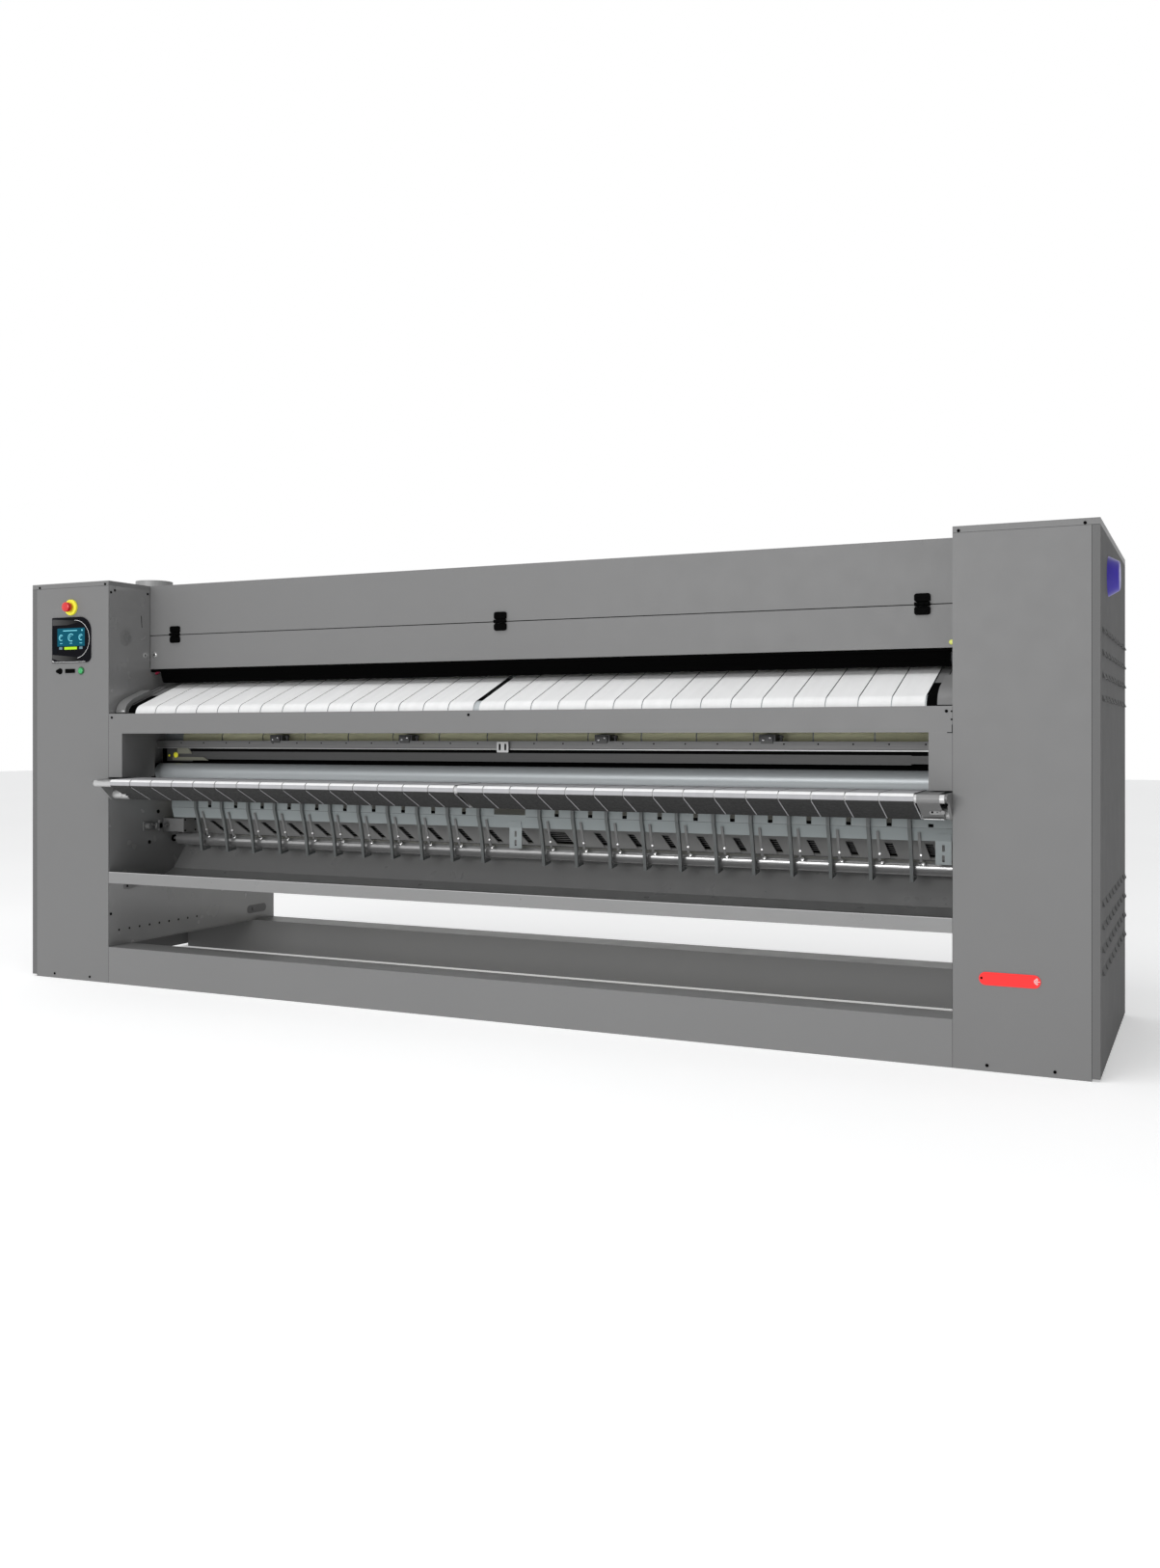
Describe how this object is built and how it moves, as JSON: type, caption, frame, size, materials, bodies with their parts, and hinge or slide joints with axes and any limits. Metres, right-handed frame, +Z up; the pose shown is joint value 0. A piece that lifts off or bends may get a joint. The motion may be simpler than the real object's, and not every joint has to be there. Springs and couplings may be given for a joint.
{
  "type": "flatwork ironer",
  "caption": "Wide flatwork ironer with belt feed, heated cylinder under a hood, return conveyor, swinging folding comb, catch tray and two control cabinets.",
  "frame": {"origin": "on the floor under the middle of the machine's box", "axes": "+X along the heated cylinder, to the operator's right; +Y from the operator to the back; +Z up"},
  "size_m": [4.278, 1.1764, 1.7],
  "materials": {
    "body_paint": "fine-textured grey paint",
    "side_paint": "smooth grey paint",
    "frame_paint": "grey paint",
    "black_paint": "semi-matt black paint",
    "sheet_steel": "bare stainless sheet",
    "white_belt": "woven white belting",
    "roller_steel": "turned steel",
    "black_plastic": "black plastic",
    "polished_steel": "polished steel",
    "bearing_iron": "as-cast iron",
    "motor_paint": "blue-grey machine paint",
    "felt_band": "heat-proof felt, yellow-olive",
    "profile_aluminium": "satin anodised",
    "comb_paint": "teal-grey paint",
    "screen_glass": "glossy display front",
    "yellow_plastic": "yellow moulded plastic",
    "red_plastic": "red moulded plastic",
    "green_plastic": "green moulded plastic",
    "blue_plastic": "blue-violet moulded plastic",
    "red_paint": "red paint"
  },
  "bodies": {
    "frame": {"base_front_beam": "frame_paint", "base_rear_beam": "frame_paint", "left_side_frame": "side_paint", "right_side_frame": "side_paint", "left_front_cover": "body_paint", "right_front_cover": "body_paint", "left_outer_panel": "body_paint", "right_outer_panel": "body_paint", "left_top_lid": "body_paint", "right_top_lid": "body_paint", "hood_shell": "body_paint", "hood_rear_panel": "body_paint", "flap_hinge_fixed": "black_plastic", "lip_beam": "body_paint", "feed_table": "sheet_steel", "feed_belts": "white_belt", "feed_edge_strips": "black_plastic", "feed_end_covers": "body_paint", "window_covers": "sheet_steel", "cylinder_bearings": "bearing_iron", "drive_gearmotor": "motor_paint", "ironing_bands": "felt_band", "scraper_beam": "profile_aluminium", "inner_shield": "black_paint", "profile_brackets": "sheet_steel", "guide_profile": "profile_aluminium", "conveyor_belts": "white_belt", "conveyor_nose_bar": "roller_steel", "conveyor_end_plates": "body_paint", "strip_bed": "sheet_steel", "catch_tray": "body_paint", "exhaust_collar": "sheet_steel", "display_bezel": "black_plastic", "display_screen": "screen_glass", "stop_collar": "yellow_plastic", "side_cap": "blue_plastic", "red_cover_plate": "red_paint", "panel_ports": "black_plastic", "comb_actuator": "comb_paint", "panel_screws": "black_plastic"},
    "cylinder": {"ironing_cylinder": "polished_steel"},
    "flap": {"hood_flap": "body_paint", "flap_hinge_moving": "black_plastic"},
    "guard": {"finger_guard": "black_paint"},
    "feed_nose": {"feed_nose_roller": "roller_steel"},
    "feed_rear": {"feed_rear_roller": "roller_steel"},
    "band_entry": {"band_entry_roller": "roller_steel"},
    "band_exit": {"band_exit_roller": "roller_steel"},
    "band_lower": {"band_lower_idler": "roller_steel"},
    "band_rear": {"band_rear_idler": "roller_steel"},
    "band_upper": {"band_upper_idler": "roller_steel"},
    "transfer": {"transfer_roller": "roller_steel"},
    "conveyor_rear": {"conveyor_rear_roller": "roller_steel"},
    "conveyor_lower": {"conveyor_lower_roller": "roller_steel"},
    "fold_roll": {"folding_roll": "polished_steel"},
    "comb": {"comb_plate": "comb_paint", "folding_fingers": "sheet_steel", "comb_shaft": "roller_steel"},
    "stop": {"stop_button": "red_plastic"},
    "start": {"start_button": "green_plastic"}
  },
  "joints": [
    {"name": "cylinder_spin", "type": "hinge", "parent": "frame", "child": "cylinder", "pos_m": [0, 0.14755, 1.08], "axis": [1, 0, 0], "continuous": true},
    {"name": "feed_nose_spin", "type": "hinge", "parent": "frame", "child": "feed_nose", "pos_m": [0, -0.39745, 1.102], "axis": [1, 0, 0], "continuous": true},
    {"name": "feed_rear_spin", "type": "hinge", "parent": "frame", "child": "feed_rear", "pos_m": [0, -0.12245, 1.212], "axis": [1, 0, 0], "continuous": true},
    {"name": "band_entry_spin", "type": "hinge", "parent": "frame", "child": "band_entry", "pos_m": [0, -0.06648, 1.27271], "axis": [1, 0, 0], "continuous": true},
    {"name": "band_exit_spin", "type": "hinge", "parent": "frame", "child": "band_exit", "pos_m": [0, -0.1309, 1.00643], "axis": [1, 0, 0], "continuous": true},
    {"name": "band_lower_spin", "type": "hinge", "parent": "frame", "child": "band_lower", "pos_m": [0, 0.14755, 0.75], "axis": [1, 0, 0], "continuous": true},
    {"name": "band_rear_spin", "type": "hinge", "parent": "frame", "child": "band_rear", "pos_m": [0, 0.46631, 0.99459], "axis": [1, 0, 0], "continuous": true},
    {"name": "band_upper_spin", "type": "hinge", "parent": "frame", "child": "band_upper", "pos_m": [0, 0.31255, 1.36579], "axis": [1, 0, 0], "continuous": true},
    {"name": "transfer_spin", "type": "hinge", "parent": "frame", "child": "transfer", "pos_m": [0, -0.22245, 0.86], "axis": [1, 0, 0], "continuous": true},
    {"name": "conveyor_rear_spin", "type": "hinge", "parent": "frame", "child": "conveyor_rear", "pos_m": [0, -0.39145, 0.826], "axis": [1, 0, 0], "continuous": true},
    {"name": "conveyor_lower_spin", "type": "hinge", "parent": "frame", "child": "conveyor_lower", "pos_m": [0, -0.46245, 0.773], "axis": [1, 0, 0], "continuous": true},
    {"name": "fold_roll_spin", "type": "hinge", "parent": "frame", "child": "fold_roll", "pos_m": [0, -0.10745, 0.57], "axis": [1, 0, 0], "continuous": true},
    {"name": "flap_hinge", "type": "hinge", "parent": "frame", "child": "flap", "pos_m": [0, -0.25845, 1.44], "axis": [-1, 0, 0], "range_deg": [0, 90]},
    {"name": "guard_hinge", "type": "hinge", "parent": "frame", "child": "guard", "pos_m": [0, -0.24445, 1.29], "axis": [1, 0, 0], "range_deg": [0, 20]},
    {"name": "comb_swing", "type": "hinge", "parent": "frame", "child": "comb", "pos_m": [0, -0.16635, 0.775], "axis": [-1, 0, 0], "range_deg": [0, 25]},
    {"name": "stop_press", "type": "slide", "parent": "frame", "child": "stop", "axis": [0, 1, 0], "range_m": [0, 0.006], "stiffness_N_per_m": 900},
    {"name": "start_press", "type": "slide", "parent": "frame", "child": "start", "axis": [0, 1, 0], "range_m": [0, 0.003], "stiffness_N_per_m": 700}
  ],
  "couplings": [
    {"joint": "feed_nose_spin", "follows": "cylinder_spin", "ratio": 6.4935},
    {"joint": "feed_rear_spin", "follows": "cylinder_spin", "ratio": 7.1429},
    {"joint": "band_entry_spin", "follows": "cylinder_spin", "ratio": -8.3333},
    {"joint": "band_exit_spin", "follows": "cylinder_spin", "ratio": -8.3333},
    {"joint": "band_lower_spin", "follows": "cylinder_spin", "ratio": -8.3333},
    {"joint": "band_rear_spin", "follows": "cylinder_spin", "ratio": -8.3333},
    {"joint": "band_upper_spin", "follows": "cylinder_spin", "ratio": -8.3333},
    {"joint": "transfer_spin", "follows": "cylinder_spin", "ratio": -6.5789},
    {"joint": "conveyor_rear_spin", "follows": "cylinder_spin", "ratio": -17.606},
    {"joint": "conveyor_lower_spin", "follows": "cylinder_spin", "ratio": -13.736},
    {"joint": "fold_roll_spin", "follows": "cylinder_spin", "ratio": -9.2593}
  ]
}
